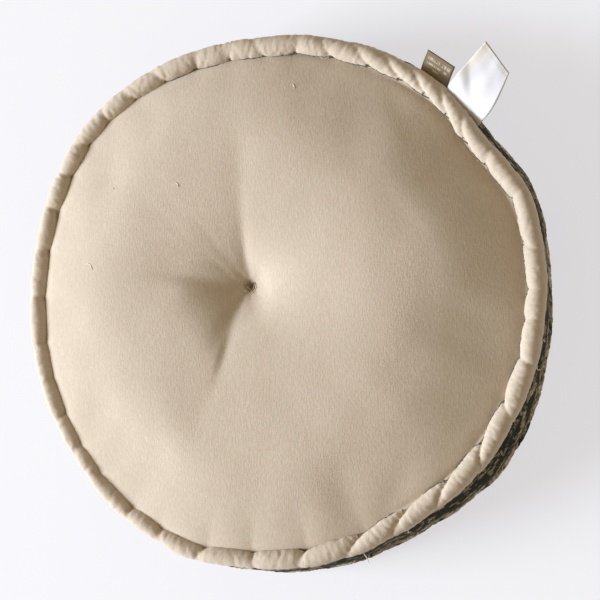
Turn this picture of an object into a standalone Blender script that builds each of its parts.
"""Round tufted seat pad with a rolled edge at each rim, one node for each of its pieces.

Metres, +Z up. The pad lies on its patterned front, and its plain back faces up. The origin is under
the pad's middle, at the level of the flat it lies on. Nearly every piece is a ring turned about Z. The
tuft doesn't sit in the middle of the pad, so the turned rings then lean towards it: their middles slide
over, and their rims stay where they are.
"""

import math

import bmesh
import bpy
from mathutils import Matrix, Vector

# Overall sizes
PAD_RADIUS = 0.200  # to the outside of the rolled edges
FRONT_ROLL_HEIGHT = 0.015  # from the flat to the middle of the front roll
ROLL_SPACING = 0.043  # from the middle of the front roll to the middle of the back roll
BACK_DOME = 0.030  # how high the back swells above its rim
FLAT_RADIUS = 0.130  # the flat that the pad lies on

# Rolled edges
ROLL_RADIUS = 0.0075
RIM_DROP = 0.004  # from a roll's middle to the rim of the panel beside it
ROLL_COVER_FROM = 205  # degrees about the roll's middle, from straight outwards
ROLL_COVER_TO = -45

# Cloth, wadding and thread
CLOTH = 0.0010
WADDING = 0.012
SIDE_BULGE = 0.0015
THREAD_RADIUS = 0.0006
TWINE_RADIUS = 0.0009
GAP = 0.0003  # between pieces that touch
HOLE_CLEARANCE = 0.0004  # round the twine

# Tuft
TUFT_X = -0.027
TUFT_Y = 0.011
BACK_TUFT_DEPTH = 0.026
BACK_TUFT_SPREAD = 0.025
FRONT_TUFT_DEPTH = 0.013
FRONT_TUFT_RADIUS = 0.045
TUFT_SEAT = 0.0038  # the flat at the bottom of each dimple, under the knot
KNOT_RADIUS = 0.0030
KNOT_HEIGHT = 0.0030

# Labels
SEAM_ANGLE = 40  # degrees below the roll's middle, where the roll meets the band
BRAND_LABEL_WIDTH = 0.0245
BRAND_LABEL_LENGTH = 0.0165
BRAND_LABEL_THICKNESS = 0.0008
BRAND_LABEL_BEARING = 55.1  # degrees round the pad from +X
BRAND_LABEL_RISE = 18
CARE_LABEL_WIDTH = 0.034
CARE_LABEL_LENGTH = 0.046
CARE_LABEL_TAPE = 0.0003
CARE_LABEL_OPENING = 0.0016  # between its two layers
CARE_LABEL_BEARING = 46.2
CARE_LABEL_RISE = 10
CARE_LABEL_SLANT = 4  # degrees that its length leans round the pad
BAND_JOIN_BEARING = 200

TURN_STEPS = 36
DOME_STEPS = 8
FRONT_STEPS = 4
ROLL_STEPS = 7
BAND_STEPS = 4
THREAD_SIDES = 5

# Sizes worked out from those above
BACK_ROLL_HEIGHT = FRONT_ROLL_HEIGHT + ROLL_SPACING
ROLL_MIDDLE = PAD_RADIUS - ROLL_RADIUS
PANEL_RADIUS = ROLL_MIDDLE - ROLL_RADIUS - 2 * (THREAD_RADIUS + GAP)
BACK_RIM = BACK_ROLL_HEIGHT - RIM_DROP
FRONT_RIM = FRONT_ROLL_HEIGHT + RIM_DROP
WADDING_INSET = CLOTH + GAP
CORE_INSET = WADDING_INSET + WADDING + GAP
HOLE_RADIUS = TWINE_RADIUS + HOLE_CLEARANCE
SEAM_REACH = ROLL_RADIUS + GAP + THREAD_RADIUS
SEAM_RADIUS = ROLL_MIDDLE + SEAM_REACH * math.cos(math.radians(SEAM_ANGLE))
SEAM_DROP = SEAM_REACH * math.sin(math.radians(SEAM_ANGLE))
BAND_TOP = BACK_ROLL_HEIGHT - SEAM_DROP - THREAD_RADIUS - GAP
BAND_BOTTOM = FRONT_ROLL_HEIGHT + SEAM_DROP + THREAD_RADIUS + GAP
LABEL_HINGE_RADIUS = SEAM_RADIUS + THREAD_RADIUS + GAP + CARE_LABEL_OPENING
LABEL_HINGE_HEIGHT = BACK_ROLL_HEIGHT - SEAM_DROP


def clear_scene():
    for old in list(bpy.data.objects):
        bpy.data.objects.remove(old, do_unlink=True)
    pad = bpy.data.collections.new("chair_seat_pad")
    bpy.context.scene.collection.children.link(pad)
    return pad


def make_material(name, colour, roughness):
    material = bpy.data.materials.new(name)
    material.use_nodes = True
    shader = material.node_tree.nodes["Principled BSDF"]
    shader.inputs["Base Color"].default_value = (*colour, 1.0)
    shader.inputs["Roughness"].default_value = roughness
    shader.inputs["Metallic"].default_value = 0.0
    return material


def add_piece(name, mesh, material):
    piece = bpy.data.objects.new(name, mesh)
    mesh.materials.clear()
    mesh.materials.append(material)
    pad.objects.link(piece)
    return piece


def evaluated_mesh(piece):
    return bpy.data.meshes.new_from_object(piece.evaluated_get(bpy.context.evaluated_depsgraph_get()))


def back_height(radius, inset=0.0):
    """The back's surface, or the one that lies inset inside it."""
    share = min(1.0, radius / (PANEL_RADIUS - inset))
    dome = (BACK_DOME - inset) * math.sqrt(1.0 - share * share)
    tuft = BACK_TUFT_DEPTH * math.exp(-max(0.0, radius - TUFT_SEAT) / BACK_TUFT_SPREAD)
    return BACK_RIM + dome - tuft * math.sqrt(1.0 - share * share)


def front_height(radius, inset=0.0):
    """The front's surface, or the one that lies inset inside it: a tuft, a flat, and a turned-up rim."""
    share = min(1.0, max(0.0, radius - FLAT_RADIUS) / (PANEL_RADIUS - inset - FLAT_RADIUS))
    turn_up = (FRONT_RIM - inset) * (1.0 - math.sqrt(1.0 - share * share))
    slack = max(0.0, radius - TUFT_SEAT) / (FRONT_TUFT_RADIUS - TUFT_SEAT)
    return inset + turn_up + FRONT_TUFT_DEPTH * max(0.0, 1.0 - slack) ** 3


def spaced(first, last, steps):
    """Radii from first to last, closest together at both ends."""
    shares = [0.5 - 0.5 * math.cos(math.pi * step / steps) for step in range(steps + 1)]
    return [first + (last - first) * share for share in shares]


def back_line(inset):
    """Points along the back's surface, from the twine's hole out to the rim."""
    rest = spaced(TUFT_SEAT, PANEL_RADIUS - inset, DOME_STEPS)
    return [(radius, back_height(radius, inset)) for radius in [HOLE_RADIUS, *rest]]


def front_line(inset):
    """Points along the front's surface, from the rim in to the twine's hole."""
    dimple = spaced(TUFT_SEAT, FRONT_TUFT_RADIUS, FRONT_STEPS)
    rim = PANEL_RADIUS - inset
    turn = [rim - (rim - FLAT_RADIUS) * (1 - step / FRONT_STEPS) ** 2 for step in range(FRONT_STEPS + 1)]
    radii = [HOLE_RADIUS, *dimple, *turn]
    return [(radius, front_height(radius, inset)) for radius in reversed(radii)]


def arc(middle, radius, start, end, steps):
    turn = [math.radians(start + (end - start) * step / steps) for step in range(steps + 1)]
    return [(middle[0] + radius * math.cos(a), middle[1] + radius * math.sin(a)) for a in turn]


def upside_down(outline):
    """The same outline at the front roll: mirrored between the rolls, and run the other way."""
    level = FRONT_ROLL_HEIGHT + BACK_ROLL_HEIGHT
    return [(radius, level - height) for radius, height in reversed(outline)]


def turned(name, outline, material):
    """A ring turned about Z from a closed outline that runs down its outer side, then leant to the tuft."""
    section = bmesh.new()
    corners = [section.verts.new((radius, 0.0, height)) for radius, height in outline]
    for near, far in zip(corners, corners[1:] + corners[:1]):
        section.edges.new((near, far))
    mesh = bpy.data.meshes.new(name)
    section.to_mesh(mesh)
    section.free()
    piece = add_piece(name, mesh, material)
    turn = piece.modifiers.new("turn", "SCREW")
    turn.steps = TURN_STEPS
    turn.render_steps = TURN_STEPS
    turn.use_merge_vertices = True
    turn.merge_threshold = 0.00001
    piece.data = evaluated_mesh(piece)
    piece.modifiers.clear()
    bpy.data.meshes.remove(mesh)
    piece.data.name = name
    lean_to_tuft(piece.data)
    piece.data.shade_smooth()
    piece.data.set_sharp_from_angle(angle=math.radians(40))
    return piece


def lean_to_tuft(mesh):
    """Slides the middle over to the tuft, less and less towards the panels' rim."""
    for vertex in mesh.vertices:
        share = min(1.0, math.hypot(vertex.co.x, vertex.co.y) / PANEL_RADIUS)
        slide = (1.0 - share * share) ** 2
        vertex.co.x += TUFT_X * slide
        vertex.co.y += TUFT_Y * slide


def make_panels():
    back = back_line(0.0) + back_line(CLOTH)[::-1]
    turned("back_panel", back, plain_cloth)
    front = front_line(CLOTH)[::-1] + front_line(0.0)
    turned("front_panel", front, patterned_cloth)


def make_rolls():
    """A sleeve of cloth, open towards the pad's inside, round a rope of wadding."""
    middle = (ROLL_MIDDLE, BACK_ROLL_HEIGHT)
    inside = ROLL_RADIUS - CLOTH
    outer = arc(middle, ROLL_RADIUS, ROLL_COVER_FROM, ROLL_COVER_TO, ROLL_STEPS)
    inner = arc(middle, inside, ROLL_COVER_TO, ROLL_COVER_FROM, ROLL_STEPS)
    flat_of_a_side = math.cos(math.radians(ROLL_COVER_FROM - ROLL_COVER_TO) / ROLL_STEPS / 2)
    rope = arc(middle, inside * flat_of_a_side - GAP, 360, 360 / ROLL_STEPS, ROLL_STEPS - 1)
    turned("back_roll_cover", outer + inner, plain_cloth)
    turned("back_roll_filler", rope, wadding)
    turned("front_roll_cover", upside_down(outer + inner), patterned_cloth)
    turned("front_roll_filler", upside_down(rope), wadding)


def band_radius(height):
    """The band's outer surface, which swells a little between the rolls."""
    share = (2 * height - BAND_TOP - BAND_BOTTOM) / (BAND_TOP - BAND_BOTTOM)
    return SEAM_RADIUS + SIDE_BULGE * (1.0 - share * share)


def band_line(inset):
    """Points down the band, or down the surface that lies inset inside it."""
    drop = (BAND_TOP - BAND_BOTTOM) / BAND_STEPS
    heights = [BAND_TOP - drop * step for step in range(BAND_STEPS + 1)]
    return [(band_radius(height) - inset, height) for height in heights]


def make_side():
    turned("side_band", band_line(0.0) + band_line(CLOTH)[::-1], patterned_cloth)
    inner = PANEL_RADIUS - CORE_INSET + GAP
    reach = ROLL_RADIUS + 2 * GAP
    past_roll = arc((ROLL_MIDDLE, BACK_ROLL_HEIGHT), reach, 215, 290, 3)
    top = [(inner, BACK_RIM - GAP), (PANEL_RADIUS, BACK_RIM - GAP), *past_roll]
    outer = [point for point in band_line(CLOTH + GAP) if top[-1][1] > point[1]]
    outline = top + outer[:-1] + upside_down(top)
    turned("side_wadding", outline, wadding)


def make_filling():
    deep = WADDING_INSET + WADDING
    turned("back_wadding", back_line(WADDING_INSET) + back_line(deep)[::-1], wadding)
    turned("front_wadding", front_line(deep)[::-1] + front_line(WADDING_INSET), wadding)
    turned("fibre_core", back_line(CORE_INSET) + front_line(CORE_INSET), core_fibre)


def make_thread_rings():
    """The stitching that runs round the pad, one unbroken thread in each groove and each seam."""
    groove = (PANEL_RADIUS + GAP + THREAD_RADIUS, BACK_RIM + THREAD_RADIUS)
    seam = (SEAM_RADIUS, BACK_ROLL_HEIGHT - SEAM_DROP)
    for where, middle in (("groove", groove), ("seam", seam)):
        step = 360 / THREAD_SIDES
        section = arc(middle, THREAD_RADIUS, 360, step, THREAD_SIDES - 1)
        turned(f"back_{where}_thread", section, thread)
        turned(f"front_{where}_thread", upside_down(section), thread)


def make_band_join():
    """The thread that closes the band's two ends into a ring."""
    line = bpy.data.curves.new("band_join_thread", "CURVE")
    line.dimensions = "3D"
    line.bevel_depth = THREAD_RADIUS
    line.bevel_resolution = 1
    line.use_fill_caps = True
    points = [(radius + THREAD_RADIUS + GAP, height) for radius, height in band_line(0.0)[1:-1]]
    spline = line.splines.new("POLY")
    spline.points.add(len(points) - 1)
    for point, (radius, height) in zip(spline.points, points):
        point.co = (radius, 0.0, height, 1.0)
    piece = add_piece("band_join_thread", line, thread)
    piece.rotation_euler.z = math.radians(BAND_JOIN_BEARING)


def make_tuft():
    """The twine through the pad, with a flat knot in each dimple."""
    back_seat = back_height(0.0)
    front_seat = front_height(0.0)
    bpy.ops.mesh.primitive_cylinder_add(
        vertices=8,
        radius=TWINE_RADIUS,
        depth=back_seat - front_seat,
        location=(TUFT_X, TUFT_Y, (back_seat + front_seat) / 2),
    )
    adopt(bpy.context.object, "tuft_twine")
    knot_lift = GAP + KNOT_HEIGHT / 2
    for name, level in (("back_tuft_knot", back_seat + knot_lift), ("front_tuft_knot", front_seat - knot_lift)):
        bpy.ops.mesh.primitive_uv_sphere_add(
            segments=12, ring_count=8, radius=KNOT_RADIUS, location=(TUFT_X, TUFT_Y, level)
        )
        knot = bpy.context.object
        knot.data.transform(Matrix.Diagonal((1.0, 1.0, KNOT_HEIGHT / KNOT_RADIUS / 2, 1.0)))
        knot.data.shade_smooth()
        adopt(knot, name)


def adopt(piece, name):
    """Names a primitive, dresses it in thread and moves it to the pad's collection."""
    piece.name = name
    piece.data.name = name
    piece.data.materials.append(thread)
    for collection in list(piece.users_collection):
        collection.objects.unlink(piece)
    pad.objects.link(piece)


def label_place(bearing):
    """Stands a label on its hinge in the seam: its X runs outwards, its Y round the pad."""
    turn = Matrix.Rotation(math.radians(bearing), 4, "Z")
    return turn @ Matrix.Translation(Vector((LABEL_HINGE_RADIUS, 0.0, LABEL_HINGE_HEIGHT)))


def make_brand_label():
    bpy.ops.mesh.primitive_cube_add(size=1.0)
    label = bpy.context.object
    label.data.transform(Matrix.Translation((0.5, 0.0, 0.0)))
    size = (BRAND_LABEL_LENGTH, BRAND_LABEL_WIDTH, BRAND_LABEL_THICKNESS, 1.0)
    label.data.transform(Matrix.Diagonal(size))
    label.data.transform(Matrix.Rotation(math.radians(-BRAND_LABEL_RISE), 4, "Y"))
    adopt(label, "brand_label")
    label.data.materials[0] = brown_label
    label.matrix_world = label_place(BRAND_LABEL_BEARING)


def make_care_label():
    """A tape folded back on itself: out from the seam, round a soft fold, and back to the seam."""
    half_open = CARE_LABEL_OPENING / 2
    fold = CARE_LABEL_LENGTH - 2 * half_open
    path = [(0.0, -half_open / 2), (fold / 2, -half_open)]
    path += [(fold + x, z) for x, z in arc((0.0, 0.0), half_open, -90, 90, 4)]
    path += [(fold / 2, half_open), (0.0, half_open / 2)]
    slant = math.tan(math.radians(CARE_LABEL_SLANT))
    tape = bmesh.new()
    edge = [tape.verts.new((x, slant * x - CARE_LABEL_WIDTH / 2, z)) for x, z in path]
    edges = [tape.edges.new(pair) for pair in zip(edge, edge[1:])]
    across = bmesh.ops.extrude_edge_only(tape, edges=edges)["geom"]
    far_side = [item for item in across if isinstance(item, bmesh.types.BMVert)]
    bmesh.ops.translate(tape, verts=far_side, vec=(0.0, CARE_LABEL_WIDTH, 0.0))
    bmesh.ops.recalc_face_normals(tape, faces=tape.faces)
    mesh = bpy.data.meshes.new("care_label")
    tape.to_mesh(mesh)
    tape.free()
    mesh.transform(Matrix.Rotation(math.radians(-CARE_LABEL_RISE), 4, "Y"))
    label = add_piece("care_label", mesh, white_label)
    wall = label.modifiers.new("tape", "SOLIDIFY")
    wall.thickness = CARE_LABEL_TAPE
    wall.offset = 0.0
    label.matrix_world = label_place(CARE_LABEL_BEARING)


pad = clear_scene()
plain_cloth = make_material("plain_cloth", (0.46, 0.38, 0.28), 0.90)
patterned_cloth = make_material("patterned_cloth", (0.06, 0.06, 0.04), 0.85)
wadding = make_material("wadding", (0.82, 0.81, 0.78), 0.95)
core_fibre = make_material("core_fibre", (0.75, 0.74, 0.70), 0.95)
thread = make_material("thread", (0.72, 0.66, 0.54), 0.70)
brown_label = make_material("brown_label", (0.20, 0.14, 0.08), 0.80)
white_label = make_material("white_label", (0.86, 0.86, 0.87), 0.45)

make_panels()
make_rolls()
make_side()
make_filling()
make_thread_rings()
make_band_join()
make_tuft()
make_brand_label()
make_care_label()
